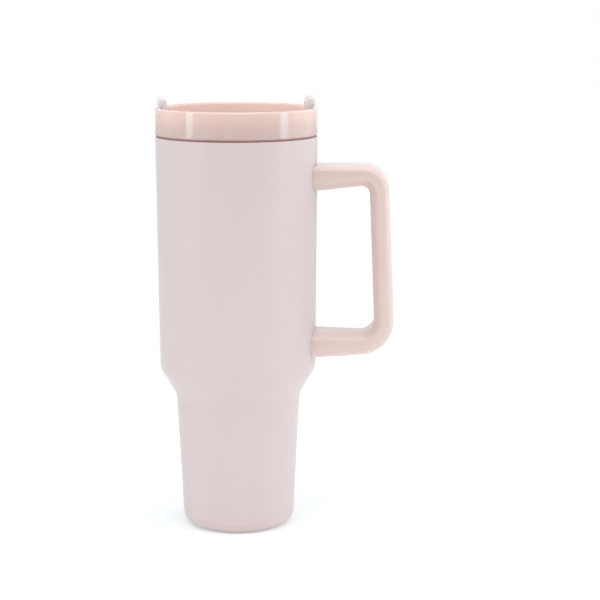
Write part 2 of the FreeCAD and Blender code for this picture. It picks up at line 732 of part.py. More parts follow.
def make_straw_grommet(document, size):
    body = new_body(document, "straw_grommet")
    bore, waist = size["straw_bore_radius"], size["straw_hole_radius"]
    wide, foot = size["grommet_top_radius"], size["grommet_foot_radius"]
    top, under = size["deck_top"], size["deck_top"] - size["deck_thickness"]
    crown, heel = top + size["grommet_top_height"], under - size["grommet_foot_height"]
    add_turned(body, "Revolution", "grommet",
               [(bore, heel), (foot, heel), (foot, under), (waist, under),
                (waist, top), (wide, top), (wide, crown), (bore, crown)])
    across, along = polar(size, "straw_distance", "straw_angle")
    place(body, across=across, along=along)


def make_sip_seal(document, size):
    body = new_body(document, "sip_seal")
    height = size["seal_depth"] + size["seal_height"]
    foot = size["deck_top"] - size["seal_depth"]
    sketch = new_sketch(body, "XY_Plane", "ring_sketch")
    raise_sketch(sketch, foot)
    add_polygon(sketch, sip_rectangle(size, size["seal_width"]))
    add_pad(body, "ring", sketch, height)
    outer_half = size["sip_width"] / 2 + size["seal_width"]
    reach = math.hypot(size["sip_length"].number, size["sip_width"].number)
    add_dressing(body, "Fillet", "ring_round", upright_edges_near(0, 0, reach), outer_half - 0.02)
    sketch = new_sketch(body, "XY_Plane", "ring_hole_sketch")
    raise_sketch(sketch, foot)
    add_polygon(sketch, sip_rectangle(size, as_size(0)))
    add_pocket(body, "ring_hole", sketch, height, upwards=True)
    inner = math.hypot(size["sip_length"].number, size["sip_width"].number) / 2 + 0.01
    half = size["sip_length"].number / 2

    def is_corner(edge):
        near = upright_edges_near(0, 0, inner)
        return near(edge) and abs(abs(edge.BoundBox.Center.x) - half) < 0.01

    add_dressing(body, "Fillet", "ring_hole_round", is_corner, size["sip_width"] / 2 - 0.02)
    place(body, along=-size["sip_distance"])


# ---- the rotating cover and its pivot ----

def ear_outline(size):
    """A finger ear's section: a web inside the collar and a grip above it."""
    foot = size["cover_bottom"] + size["cover_thickness"] / 2
    return [
        (size["ear_web_inner"], foot),
        (size["ear_web_outer"], foot),
        (size["ear_web_outer"], size["ear_lip_height"]),
        (size["ear_outer_radius"], size["ear_lip_height"]),
        (size["ear_outer_radius"], size["ear_top"]),
        (size["ear_tip_radius"], size["ear_tip_height"]),
        (size["ear_foot_radius"], size["ear_foot_height"]),
        (size["ear_web_inner"], size["ear_lip_height"] - (size["ear_web_inner"] - size["ear_foot_radius"])),
    ]


def make_rotating_cover(document, size):
    body = new_body(document, "rotating_cover")
    bottom = size["cover_bottom"]
    top = bottom + size["cover_thickness"]
    bore, rim = size["cover_bore_radius"], size["cover_radius"]
    add_turned(body, "Revolution", "disc", [(bore, bottom), (rim, bottom), (rim, top), (bore, top)])
    round_ring(body, "disc_round", rim, top, size["cover_edge_blend"])

    above = top + size["cover_thickness"]
    below = bottom - size["cover_thickness"]
    near, far = size["window_inner_radius"], size["window_outer_radius"]
    window = [(near, below), (far, below), (far, above), (near, above)]
    add_turned(body, "Groove", "window", window, size["window_sweep"], size["straw_angle"])
    across, along = polar(size, "straw_distance", "straw_angle")
    add_dressing(body, "Fillet", "window_round",
                 upright_edges_near(across.number, along.number, far.number), size["window_corner"])

    clear = size["stop_radius"] + size["stop_clearance"]
    near, far = size["stop_distance"] - clear, size["stop_distance"] + clear
    roof = bottom + size["track_depth"]
    track = [(near, below), (far, below), (far, roof), (near, roof)]
    end_angle = clear / size["stop_distance"] * (180 / math.pi)
    sweep = size["cover_turn"] + end_angle * 2
    middle = size["stop_angle"] - size["cover_turn"] / 2
    add_turned(body, "Groove", "stop_track", track, sweep, middle)

    for name, half_turn in (("right_ear", 0), ("left_ear", 180)):
        angle = size["ear_angle"] + half_turn
        add_turned(body, "Revolution", name, ear_outline(size), size["ear_sweep"], angle)
    foot = size["ear_foot_height"].number
    soften = creases(body.Tip.Shape, lambda edge: edge.BoundBox.ZMax > foot + 0.1
                     and edge.BoundBox.ZMin > size["collar_top"].number)
    add_dressing(body, "Fillet", "ear_round", soften, size["ear_blend"])


def make_pivot(document, size):
    screw = new_body(document, "pivot_screw")
    seat = size["boss_top"] + size["washer_thickness"]
    crown = seat + size["pivot_head_height"]
    shank, head = size["pivot_screw_radius"], size["pivot_head_radius"]
    end = size["pivot_screw_end"]
    add_turned(screw, "Revolution", "screw",
               [(0, end), (shank, end), (shank, seat), (head, seat), (head, crown), (0, crown)])
    round_ring(screw, "head_round", head, crown, size["pivot_head_height"] / 4)

    washer = new_body(document, "friction_washer")
    bore, rim = size["washer_bore_radius"], size["washer_radius"]
    add_turned(washer, "Revolution", "washer",
               [(bore, size["boss_top"]), (rim, size["boss_top"]), (rim, seat), (bore, seat)])

    cap = new_body(document, "pivot_cap")
    rim, wall = size["cap_radius"], size["cap_wall"]
    foot = size["cover_bottom"] + size["cover_thickness"] + size["cap_gap"]
    top = crown + wall
    add_turned(cap, "Revolution", "cap",
               [(0, crown), (rim - wall, crown), (rim - wall, foot), (rim, foot), (rim, top), (0, top)])
    round_ring(cap, "cap_round", rim, top, size["cap_blend"])


# ---- the whole tumbler ----

def check_and_export(document):
    """Check every object, then write each sub-part's STEP file."""
    for item in document.Objects:
        faults = {"Invalid", "Error"} & set(item.State)
        assert not faults, f"{item.Label}: {item.State}"
    os.makedirs("parts", exist_ok=True)
    for body in document.Objects:
        if body.TypeId != "PartDesign::Body":
            continue
        shape = body.Shape
        assert not shape.isNull() and shape.isValid(), body.Label
        assert len(shape.Solids) == 1, body.Label
        shape.exportStep(f"parts/{body.Label}.step")


def main():
    document = FreeCAD.newDocument("tumbler")
    size = write_sheet(document)
    make_outer_shell(document, size)
    make_inner_liner(document, size)
    make_bottom(document, size)
    make_handle(document, size)
    for place_name in ("upper", "lower"):
        height = size[f"{place_name}_bracket_height"]
        make_bracket(document, size, f"{place_name}_bracket", height)
        make_handle_screw(document, size, f"{place_name}_handle_screw", height)
        make_screw_plug(document, size, f"{place_name}_screw_plug", height)
    make_lid_body(document, size)
    make_lid_gasket(document, size)
    make_straw_grommet(document, size)
    make_sip_seal(document, size)
    make_rotating_cover(document, size)
    make_pivot(document, size)
    document.recompute()
    check_and_export(document)


main()
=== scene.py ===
# %% [markdown]
# # An insulated tumbler, dressed for its portrait
#
# The engineering model of this tumbler already exists: every steel sheet, seal and screw has its
# size and its place. This lesson gives that model its looks. We load it, measure it, remodel the
# surfaces that the eye rests on, give every piece a finish, and light it like a product.

# %% Load the measured model
import json
import math

import bmesh
import bpy
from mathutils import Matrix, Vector


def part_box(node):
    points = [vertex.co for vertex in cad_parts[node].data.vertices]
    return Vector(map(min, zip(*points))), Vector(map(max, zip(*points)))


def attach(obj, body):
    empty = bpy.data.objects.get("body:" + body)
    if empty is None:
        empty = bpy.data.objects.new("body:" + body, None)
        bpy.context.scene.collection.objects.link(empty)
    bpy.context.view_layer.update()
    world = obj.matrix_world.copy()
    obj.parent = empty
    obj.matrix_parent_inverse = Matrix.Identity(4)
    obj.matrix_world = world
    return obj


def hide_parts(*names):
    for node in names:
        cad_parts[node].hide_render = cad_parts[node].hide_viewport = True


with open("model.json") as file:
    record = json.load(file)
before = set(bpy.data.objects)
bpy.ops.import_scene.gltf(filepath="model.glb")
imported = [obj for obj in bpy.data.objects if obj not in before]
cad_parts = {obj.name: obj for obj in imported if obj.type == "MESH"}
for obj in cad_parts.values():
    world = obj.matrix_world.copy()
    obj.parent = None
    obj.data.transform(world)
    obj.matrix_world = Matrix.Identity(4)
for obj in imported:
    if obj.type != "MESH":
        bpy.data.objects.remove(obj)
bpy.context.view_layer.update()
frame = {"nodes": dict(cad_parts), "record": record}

# %% [markdown]
# Everything is in metres, and the cup stands on the floor at the origin with its handle towards
# +X. The drawings below are written in millimetres, so they are multiplied by MM. Points closer
# than TOUCH count as one. A few nodes are measured, to see where the new pieces have to go.

# %% Measure the nodes that the new pieces follow
MM = 0.001
TOUCH = 0.002 * MM

shell_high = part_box("outer_shell")[1]
cover_low, cover_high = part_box("rotating_cover")
handle_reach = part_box("handle")[1].x
print(f"shell {shell_high.y / MM:.1f} mm in radius and {shell_high.z / MM:.1f} mm high, "
      f"handle out to {handle_reach / MM:.1f} mm")

# %% [markdown]
# ## Working in edit mode without a window
#
# Modelling by hand is a loop of three moves: select something, press a key, type a number. The
# small helpers below do the selecting. An operator acts on all that is selected, so each new
# object starts by clearing the selection.


# %% Small helpers for selecting
def deselect_all():
    if bpy.context.mode != "OBJECT":
        bpy.ops.object.mode_set(mode="OBJECT")
    bpy.ops.object.select_all(action="DESELECT")


def start_edit(piece):
    deselect_all()
    piece.select_set(True)
    bpy.context.view_layer.objects.active = piece
    bpy.ops.object.mode_set(mode="EDIT")


def finish_edit():
    bpy.ops.object.mode_set(mode="OBJECT")


def choose(kind, test):
    """In edit mode, select the vertices, edges or faces that pass a test, and count them."""
    mesh = bmesh.from_edit_mesh(bpy.context.edit_object.data)
    bpy.ops.mesh.select_mode(type={"verts": "VERT", "edges": "EDGE", "faces": "FACE"}[kind])
    bpy.ops.mesh.select_all(action="DESELECT")
    count = 0
    for element in getattr(mesh, kind):
        if test(element):
            element.select_set(True)
            count += 1
    mesh.select_flush_mode()
    bmesh.update_edit_mesh(bpy.context.edit_object.data)
    return count


def middle(edge):
    return (edge.verts[0].co + edge.verts[1].co) / 2


def apply_modifier(piece, kind, **settings):
    deselect_all()
    piece.select_set(True)
    bpy.context.view_layer.objects.active = piece
    modifier = piece.modifiers.new(kind.title(), kind)
    for name, value in settings.items():
        setattr(modifier, name, value)
    bpy.ops.object.modifier_apply(modifier=modifier.name)


def smooth(piece, degrees):
    deselect_all()
    piece.select_set(True)
    bpy.context.view_layer.objects.active = piece
    bpy.ops.object.shade_smooth_by_angle(angle=math.radians(degrees), keep_sharp_edges=True)

# %% [markdown]
# ## Drawing with one vertex
#
# Most pieces here start as a line drawing: a chain of points for a section or a side view. To
# draw one, a plane is merged to a single vertex, and that vertex is extruded from point to
# point. A corner becomes round by bevelling its vertex. A bevel is told how far from the corner
# it starts, so the helper works that out from the radius.


# %% Draw a chain and round its corners
def draw_chain(name, points):
    """A closed chain of edges through points in millimetres, left in edit mode."""
    deselect_all()
    bpy.ops.mesh.primitive_plane_add(size=MM)
    piece = bpy.context.object
    piece.name = name
    places = [Vector(point) * MM for point in points]
    start_edit(piece)
    bpy.ops.mesh.select_mode(type="VERT")
    bpy.ops.mesh.select_all(action="SELECT")
    bpy.ops.mesh.merge(type="CENTER")
    bpy.ops.transform.translate(value=places[0])
    for here, there in zip(places, places[1:]):
        bpy.ops.mesh.extrude_region_move(TRANSFORM_OT_translate={"value": there - here})
    choose("verts", lambda vertex: (vertex.co - places[0]).length < TOUCH
           or (vertex.co - places[-1]).length < TOUCH)
    bpy.ops.mesh.edge_face_add()
    return piece


def round_corner(point, radius, segments):
    """Bevel the chain's vertex at a point, so that it becomes an arc of that radius."""
    place = Vector(point) * MM
    choose("verts", lambda vertex: (vertex.co - place).length < TOUCH)
    mesh = bmesh.from_edit_mesh(bpy.context.edit_object.data)
    corner = next(vertex for vertex in mesh.verts if vertex.select)
    arms = [edge.other_vert(corner).co - corner.co for edge in corner.link_edges]
    start = radius * MM / math.tan(arms[0].angle(arms[1]) / 2)
    bpy.ops.mesh.bevel(offset=start, segments=segments, affect="VERTICES")


def fill_chain():
    bpy.ops.mesh.select_all(action="SELECT")
    bpy.ops.mesh.edge_face_add()


def pull(millimetres):
    """Extrude all that is selected."""
    bpy.ops.mesh.extrude_region_move(TRANSFORM_OT_translate={"value": Vector(millimetres) * MM})


def spin(degrees, steps):
    """Turn the selected section about the cup's axis, and close a full turn's seam.

    With no window the operator turns the other way, so the angle is negative.
    """
    bpy.ops.mesh.spin(steps=steps, angle=-math.radians(degrees), center=(0, 0, 0), axis=(0, 0, 1))
    bpy.ops.mesh.select_all(action="SELECT")
    bpy.ops.mesh.remove_doubles(threshold=TOUCH)
    bpy.ops.mesh.normals_make_consistent(inside=False)


def bevel(millimetres, segments=1):
    """Bevel the selected edges. They are far enough apart not to need clamping."""
    bpy.ops.mesh.bevel(offset=millimetres * MM, segments=segments, affect="EDGES",
                       clamp_overlap=False)


def cut(piece, cutter, operation="DIFFERENCE"):
    """Cut a piece with a cutter, or join the two, and throw the cutter away."""
    apply_modifier(piece, "BOOLEAN", object=cutter, operation=operation, solver="EXACT")
    bpy.data.objects.remove(cutter)


def tidy_solid(piece):
    """Close the small gaps that cutting leaves, and turn all faces outwards."""
    start_edit(piece)
    bpy.ops.mesh.select_all(action="SELECT")
    bpy.ops.mesh.remove_doubles(threshold=TOUCH)
    bpy.ops.mesh.normals_make_consistent(inside=False)
    finish_edit()


def report(piece):
    """Print a piece's size and count its open edges, of which a solid has none."""
    mesh = bmesh.new()
    mesh.from_mesh(piece.data)
    open_edges = sum(1 for edge in mesh.edges if len(edge.link_faces) != 2)
    size = [round(number / MM, 1) for number in piece.dimensions]
    print(f"{piece.name}: {len(mesh.faces)} faces, {size} mm, {open_edges} open edges")
    mesh.free()

# %% [markdown]
# ## The handle
#
# The handle is one moulding: two arms and a grip with big flat bevels. Seen from the side it is
# a bent band of eight points, four of them rounded. The grip leans out towards its foot, and the
# arms are deeper at the root than at the grip. We draw that side view, extrude it a little too
# wide, and slice both sides off at a slant, because the handle is wider where it holds the cup.

# %% Side view of the handle
ROOT = 44.0
TOP, FOOT = 229.1, 112.2
GAP_TOP, GAP_FOOT = 216.6, 123.95
OUTSIDE_TOP, OUTSIDE_FOOT = 93.9, 98.9
INSIDE_TOP, INSIDE_FOOT = 82.55, 86.25
ROOT_HALF, END_HALF = 14.8, 12.0
UNCUT_HALF = ROOT_HALF + 1
handle_view = {
    "root top": (ROOT, 0, TOP - 0.6),
    "outer top": (OUTSIDE_TOP, 0, TOP),
    "outer foot": (OUTSIDE_FOOT, 0, FOOT),
    "root foot": (ROOT, 0, FOOT - 3.5),
    "root gap foot": (ROOT, 0, GAP_FOOT + 0.9),
    "inner foot": (INSIDE_FOOT, 0, GAP_FOOT),
    "inner top": (INSIDE_TOP, 0, GAP_TOP),
    "root gap top": (ROOT, 0, GAP_TOP - 4.0),
}
handle_rounding = {"outer top": 16, "outer foot": 21, "inner foot": 9.5, "inner top": 5}
handle = draw_chain("moulded_handle", handle_view.values())
for corner, radius in handle_rounding.items():
    round_corner(handle_view[corner], radius, segments=14)
fill_chain()
bpy.ops.transform.translate(value=(0, -UNCUT_HALF * MM, 0))
pull((0, UNCUT_HALF * 2, 0))
for side in (1, -1):
    bpy.ops.mesh.select_all(action="SELECT")
    slant = Vector((ROOT_HALF - END_HALF, side * (OUTSIDE_FOOT - ROOT), 0)).normalized()
    bpy.ops.mesh.bisect(plane_co=(ROOT * MM, side * ROOT_HALF * MM, 0), plane_no=slant,
                        use_fill=True, clear_outer=True)
bpy.ops.mesh.select_all(action="SELECT")
bpy.ops.mesh.normals_make_consistent(inside=False)
finish_edit()
report(handle)

# %% [markdown]
# The bevels run all round both sides. Towards the fingers they are wide, outside they are
# narrow. A second, small bevel over every hard edge gives the soft highlights of a moulding. The
# edges are found by their place: a vertex lies on a slanted side when it is as far from the
# middle plane as the slant is there.


# %% Find the handle's edges
HAIR = 0.01


def on_slanted_side(vertex):
    share = (vertex.co.x / MM - ROOT) / (OUTSIDE_FOOT - ROOT)
    half_width = ROOT_HALF + share * (END_HALF - ROOT_HALF)
    return abs(abs(vertex.co.y) / MM - half_width) < HAIR


def at_root(element):
    """True for an edge or face at the flat end of an arm."""
    return all(vertex.co.x / MM < ROOT + HAIR for vertex in element.verts)


def on_rim(edge):
    """True for an edge round a side face, apart from the two where the arms meet the shell."""
    across = abs(middle(edge).y) / MM < END_HALF / 2
    round_a_side = all(on_slanted_side(vertex) for vertex in edge.verts)
    return round_a_side and not across and not at_root(edge)


def faces_fingers(edge, margin):
    """True for an edge round the gap for the fingers, or within a margin of it."""
    place = middle(edge) / MM
    return place.x < INSIDE_FOOT + margin and GAP_FOOT - margin < place.z < GAP_TOP + margin


def select_sharp(piece, degrees, leave_out):
    """Select a piece's sharp edges, apart from those that a test leaves out."""
    bpy.ops.mesh.select_all(action="DESELECT")
    bpy.ops.mesh.select_mode(type="EDGE")
    bpy.ops.mesh.edges_select_sharp(sharpness=math.radians(degrees))
    mesh = bmesh.from_edit_mesh(piece.data)
    for edge in mesh.edges:
        if leave_out(edge):
            edge.select_set(False)
    bmesh.update_edit_mesh(piece.data)


# %% Bevel the handle
INNER_BEVEL, OUTER_BEVEL, SOFT_EDGE = 4.6, 2.6, 0.9
start_edit(handle)
inner = choose("edges", lambda edge: on_rim(edge) and faces_fingers(edge, 0.2))
bevel(INNER_BEVEL)
outer = choose("edges",
               lambda edge: on_rim(edge) and not faces_fingers(edge, INNER_BEVEL + 0.2))
bevel(OUTER_BEVEL)
select_sharp(handle, 22, leave_out=at_root)
bevel(SOFT_EDGE, segments=3)
finish_edit()
print(f"bevelled {inner} inner and {outer} outer edges")
report(handle)

# %% [markdown]
# A mould has two halves, and where they meet it leaves a fine line round the middle of the
# handle. Two cuts close together make a narrow band of faces, which is then sunk by a hair.

# %% Parting line
PARTING_HALF, PARTING_DEPTH = 0.14, 0.12


def in_parting_line(face):
    narrow = all(abs(vertex.co.y) < PARTING_HALF * MM + TOUCH for vertex in face.verts)
    return narrow and not at_root(face)


start_edit(handle)
for side in (1, -1):
    bpy.ops.mesh.select_all(action="SELECT")
    bpy.ops.mesh.bisect(plane_co=(0, side * PARTING_HALF * MM, 0), plane_no=(0, 1, 0))
band = choose("faces", in_parting_line)
bpy.ops.transform.shrink_fatten(value=-PARTING_DEPTH * MM)
finish_edit()
print(band, "faces in the parting line")

# %% [markdown]
# Last, the arms are cut to the shell's roundness with a cone that has the shell's own taper. It
# is a hair wider than the shell, so that the two never share a face. The handle then rides on
# the cup's body and stands in for the plainer handle of the engineering model.

# %% Fit the arms to the shell
SHELL_LOW, SHELL_LOW_RADIUS = 100.95, 48.86
SHELL_HIGH, SHELL_HIGH_RADIUS = 246, 50.17
SHELL_SIDES = 256
CLEARANCE = 0.03
deselect_all()
bpy.ops.mesh.primitive_cone_add(vertices=SHELL_SIDES,
                                radius1=(SHELL_LOW_RADIUS + CLEARANCE) * MM,
                                radius2=(SHELL_HIGH_RADIUS + CLEARANCE) * MM,
                                depth=(SHELL_HIGH - SHELL_LOW) * MM,
                                location=(0, 0, (SHELL_HIGH + SHELL_LOW) / 2 * MM))
cut(handle, bpy.context.object)
tidy_solid(handle)
report(handle)
smooth(handle, 35)
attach(handle, "cup")
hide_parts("handle")

# %% [markdown]
# ## The rotating cover
#
# The cover is a disc with a lip round its edge, a window that is turned over one hole or the
# other, and two ears that stick up past the collar for the fingers. The disc is a section spun
# all the way round. The window and the track for the lid's stop pin are wedges cut out of it.
# The ears end a little lower than in the engineering model, whose ears are plainer.

# %% Disc of the cover
DISC_THICKNESS, LIP_HEIGHT, EAR_DROP = 2.0, 0.8, 0.8
COVER_BOTTOM = cover_low.z / MM
EAR_TOP = cover_high.z / MM - EAR_DROP
COVER_TOP = COVER_BOTTOM + DISC_THICKNESS
LIP_TOP = COVER_TOP + LIP_HEIGHT
RIM, LIP_INSIDE, BORE = 46.8, 45.2, 4.05
DISC_STEPS = 144
disc_view = [(BORE, 0, COVER_BOTTOM), (RIM, 0, COVER_BOTTOM), (RIM, 0, LIP_TOP),
             (LIP_INSIDE, 0, LIP_TOP), (LIP_INSIDE, 0, COVER_TOP), (BORE, 0, COVER_TOP)]
cover = draw_chain("cloudy_cover", disc_view)
round_corner(disc_view[2], 0.6, segments=4)
round_corner(disc_view[3], 0.5, segments=4)
round_corner(disc_view[4], 0.6, segments=4)
bpy.ops.mesh.select_all(action="SELECT")
spin(360, DISC_STEPS)
finish_edit()
report(cover)

# %% [markdown]
# Both openings are slices of a ring, so one cutter serves for both: points along an outer and an
# inner arc, joined, filled and pulled up. Its four corners are rounded, as a mould's would be.


# %% A wedge to cut with
def round_the_axis(radius, degrees, height):
    """A point in millimetres. Degrees are counted from +X towards +Y."""
    turn = math.radians(degrees)
    return Vector((radius * math.cos(turn), radius * math.sin(turn), height))


def wedge(name, near, far, middle_turn, sweep, low, high):
    """A solid slice of a ring, with rounded corners."""
    steps, rounding = 16, 0.7
    turns = [middle_turn + sweep * (step / steps - 0.5) for step in range(steps + 1)]
    points = [round_the_axis(far, turn, low) for turn in turns]
    points += [round_the_axis(near, turn, low) for turn in reversed(turns)]
    piece = draw_chain(name, points)
    for corner in (0, steps, steps + 1, len(points) - 1):
        round_corner(points[corner], rounding, segments=5)
    fill_chain()
    pull((0, 0, high - low))
    bpy.ops.mesh.select_all(action="SELECT")
    bpy.ops.mesh.normals_make_consistent(inside=False)
    finish_edit()
    return piece

# %% [markdown]
# The window goes right through the disc. The track is cut from below and stops halfway. It is as
# long as the cover's turn, so the lid's pin stops the cover at both ends.

# %% Cut a window and a track
BELOW, ABOVE = COVER_BOTTOM - 1, LIP_TOP + 1
WINDOW_NEAR, WINDOW_FAR, STRAW_TURN, WINDOW_SWEEP = 12, 43.2, 150, 36
cut(cover, wedge("window_cutter", WINDOW_NEAR, WINDOW_FAR, STRAW_TURN, WINDOW_SWEEP,
                 BELOW, ABOVE))
PIN_DISTANCE, PIN_TURN, TRACK_HALF, TRACK_DEPTH = 30.0, 100, 1.9, 1.2
COVER_TURN = 120
track_end = math.degrees(TRACK_HALF / PIN_DISTANCE)
cut(cover, wedge("track_cutter", PIN_DISTANCE - TRACK_HALF, PIN_DISTANCE + TRACK_HALF,
                 PIN_TURN - COVER_TURN / 2, COVER_TURN + track_end * 2,
                 BELOW, COVER_BOTTOM + TRACK_DEPTH))
tidy_solid(cover)
report(cover)

# %% [markdown]
# An ear is shaped like the pad of a thumb: upright outside, bulging inside, round on top. Its
# section is spun by only 20 degrees, and then its corners and edges are rounded. It grows from
# a thin web inside the collar and reaches a little over the collar's edge. The spin has few
# steps, because the big bevel on the crown's corners has to stay within the last one.

# %% One ear
EAR_TURN, EAR_SWEEP, EAR_STEPS = 8.5, 20, 5
WEB_FOOT = COVER_TOP - 0.5
WEB_INNER, WEB_OUTER, EAR_INNER, EAR_OUTER, CROWN_INNER = 44.0, 46.6, 43.0, 48.8, 44.9
OVERHANG, BULGE = 264.6, 266.6
ear_view = {
    "web foot inner": (WEB_INNER, WEB_FOOT),
    "web foot outer": (WEB_OUTER, WEB_FOOT),
    "web top": (WEB_OUTER, OVERHANG),
    "lip": (EAR_OUTER, OVERHANG),
    "crown outer": (EAR_OUTER, EAR_TOP),
    "crown inner": (CROWN_INNER, EAR_TOP - 0.3),
    "bulge": (EAR_INNER, BULGE),
    "chin": (EAR_INNER, OVERHANG),
    "web neck": (WEB_INNER, OVERHANG - 1.2),
}
start_turn = EAR_TURN - EAR_SWEEP / 2
right_ear = draw_chain("ear", [round_the_axis(radius, start_turn, height)
                               for radius, height in ear_view.values()])
fill_chain()
spin(EAR_SWEEP, EAR_STEPS)
finish_edit()
report(right_ear)

# %% [markdown]
# The crown's two ends get a big bevel of many steps, which is an arc. Every edge that is still
# sharp above the disc then gets a small one, so that nothing scratches a thumb.


# %% Round the ear off
CROWN_CORNER, EAR_EDGE = 2.8, 0.7


def is_crown_corner(edge):
    """True for the short edges across the crown, at the ear's two ends."""
    turns = [math.degrees(math.atan2(vertex.co.y, vertex.co.x)) for vertex in edge.verts]
    at_end = all(abs(abs(turn - EAR_TURN) - EAR_SWEEP / 2) < HAIR * 5 for turn in turns)
    return at_end and all(vertex.co.z / MM > EAR_TOP - 0.5 for vertex in edge.verts)


start_edit(right_ear)
corners = choose("edges", is_crown_corner)
bevel(CROWN_CORNER, segments=8)
select_sharp(right_ear, 18, leave_out=lambda edge: middle(edge).z / MM < COVER_TOP)
bevel(EAR_EDGE, segments=3)
finish_edit()
print("crown corners:", corners)
report(right_ear)

# %% [markdown]
# The left ear is the right one turned half round, with a mesh of its own. Both ears reach into
# the disc, so a union makes one solid of the three.

# %% Copy the ear to the other side and join all three
left_ear = right_ear.copy()
left_ear.data = right_ear.data.copy()
bpy.context.scene.collection.objects.link(left_ear)
start_edit(left_ear)
bpy.ops.mesh.select_all(action="SELECT")
bpy.ops.transform.rotate(value=math.pi, orient_axis="Z", center_override=(0, 0, 0))
finish_edit()
for ear in (right_ear, left_ear):
    cut(cover, ear, "UNION")
tidy_solid(cover)
report(cover)
smooth(cover, 32)
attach(cover, "cover")
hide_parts("rotating_cover")

# %% [markdown]
# ## Shader maths as plain Python
#
# A material is a sum: noise times a little, added to a constant. Wiring that by hand hides the
# sum in a tangle of nodes. The class below wraps a socket, so `0.5 + noise * 0.1` makes the
# Math nodes for us, and `1 - mask` works as well.


# %% A socket that can be added and multiplied
class Value:
    """A shader socket that builds Math nodes when it is used in an expression."""

    def __init__(self, tree, socket):
        self.tree = tree
        self.socket = socket

    def maths(self, operation, first, second):
        return self.tree.make("ShaderNodeMath", {"operation": operation}, [first, second])

    def __add__(self, other):
        return self.maths("ADD", self, other)

    def __radd__(self, other):
        return self.maths("ADD", other, self)

    def __rsub__(self, other):
        return self.maths("SUBTRACT", other, self)

    def __mul__(self, other):
        return self.maths("MULTIPLY", self, other)

    def __rmul__(self, other):
        return self.maths("MULTIPLY", other, self)

# %% [markdown]
# Colours are written as they look on screen, because that is how a maker picks them. The shader
# needs them as amounts of light, so a function turns one into the other.


# %% Colours as they look on screen
def srgb(red, green, blue):
    """A colour written as it looks on screen, 0 to 255, turned into scene light."""
    def linear(part):
        part = part / 255
        return part / 12.92 if part <= 0.04045 else ((part + 0.055) / 1.055) ** 2.4
    return linear(red), linear(green), linear(blue)


def shade(colour, factor):
    return tuple(part * factor for part in colour)

# %% [markdown]
# Every finish is a Principled shader with a few patterns plugged into it. The class below makes
# that shader, takes its constants by name, and makes all other nodes with one method.


# %% A material whose nodes come from one method
class Finish:
    """A node material with a Principled shader at its end."""

    def __init__(self, name, colour, **constants):
        self.material = bpy.data.materials.new(name)
        self.material.use_nodes = True
        self.nodes = self.material.node_tree.nodes
        self.links = self.material.node_tree.links
        self.shader = self.nodes["Principled BSDF"]
        self.colour = colour
        self.set("Base Color", (*colour, 1))
        for socket, value in constants.items():
            self.set(socket.replace("_", " "), value)

    def set(self, name, value):
        self.plug(self.shader.inputs[name], value)

    def plug(self, socket, value):
        if isinstance(value, Value):
            self.links.new(value.socket, socket)
        else:
            socket.default_value = value

    def make(self, kind, settings=None, inputs=(), output=0):
        """Make any node: its settings first, then the values or links of its sockets."""
        node = self.nodes.new(kind)
        for name, value in (settings or {}).items():
            setattr(node, name, value)
        pairs = inputs.items() if isinstance(inputs, dict) else enumerate(inputs)
        for name, value in pairs:
            self.plug(node.inputs[name], value)
        return Value(self, node.outputs[output])

    def place(self):
        return self.make("ShaderNodeTexCoord", output="Object")

    def noise(self, scale, detail=3, where=None):
        inputs = {"Vector": where or self.place(), "Scale": scale, "Detail": detail}
        return self.make("ShaderNodeTexNoise", {}, inputs)

    def blend(self, mask, first, second):
        """A colour that goes from first to second as the mask goes from 0 to 1."""
        return self.make("ShaderNodeMix", {"data_type": "RGBA"},
                         {"Factor": mask, 6: (*first, 1), 7: (*second, 1)}, output=2)

    def drift(self, mask, darkest, lightest):
        """Let the colour wander between two shades of itself."""
        self.set("Base Color", self.blend(mask, shade(self.colour, darkest),
                                          shade(self.colour, lightest)))

    def mix_shaders(self, mask, second):
        """Send a mix of the Principled shader and a second shader to the output."""
        mixed = self.make("ShaderNodeMixShader", {}, {0: mask, 2: second})
        self.links.new(self.shader.outputs[0], mixed.socket.node.inputs[1])
        self.links.new(mixed.socket, self.nodes["Material Output"].inputs["Surface"])

    def bump(self, height, strength, distance):
        normal = self.make("ShaderNodeBump", {},
                           {"Height": height, "Strength": strength, "Distance": distance})
        self.set("Normal", normal)

# %% [markdown]
# ## Finishes
#
# The body is powder coat: dry paint dust baked until it just flows together. Close up it has a
# fine orange-peel skin, and its colour drifts by a hair from place to place.


# %% Powder coat
def powder_coat():
    finish = Finish("powder_coat", srgb(214, 191, 188), Specular_IOR_Level=0.4,
                    Sheen_Weight=0.2, Sheen_Roughness=0.45, Sheen_Tint=(0.86, 0.95, 1, 1))
    finish.drift(finish.noise(28, detail=2), 0.985, 1.015)
    grain = finish.noise(2600, detail=2)
    peel = finish.noise(900, detail=1)
    finish.set("Roughness", 0.44 + grain * 0.08)
    finish.bump(grain * 0.5 + peel * 0.5, 0.12, 0.00012)
    return finish.material

# %% [markdown]
# The lid and its cap are moulded in a glossy plastic of a warmer pink. Light enters it and comes
# out again a few millimetres away, which is what Subsurface does. A moulding is never a perfect
# mirror either: its gloss wanders a little and its surface has a long, shallow ripple.


# %% Glossy lid plastic
SCATTER = (1, 0.9, 0.85)


def lid_gloss():
    finish = Finish("lid_gloss", srgb(219, 183, 175), IOR=1.49, Subsurface_Weight=0.75,
                    Subsurface_Radius=SCATTER, Subsurface_Scale=0.012)
    wander = finish.noise(35, detail=2)
    finish.drift(wander, 0.99, 1.01)
    finish.set("Roughness", 0.07 + wander * 0.06)
    finish.bump(finish.noise(90, detail=1), 0.05, 0.0004)
    return finish.material

# %% [markdown]
# The handle is moulded too, in a denser plastic with a satin surface. Its grain is so fine that
# it only widens the highlights. A thin coat keeps them bright along the bevels.


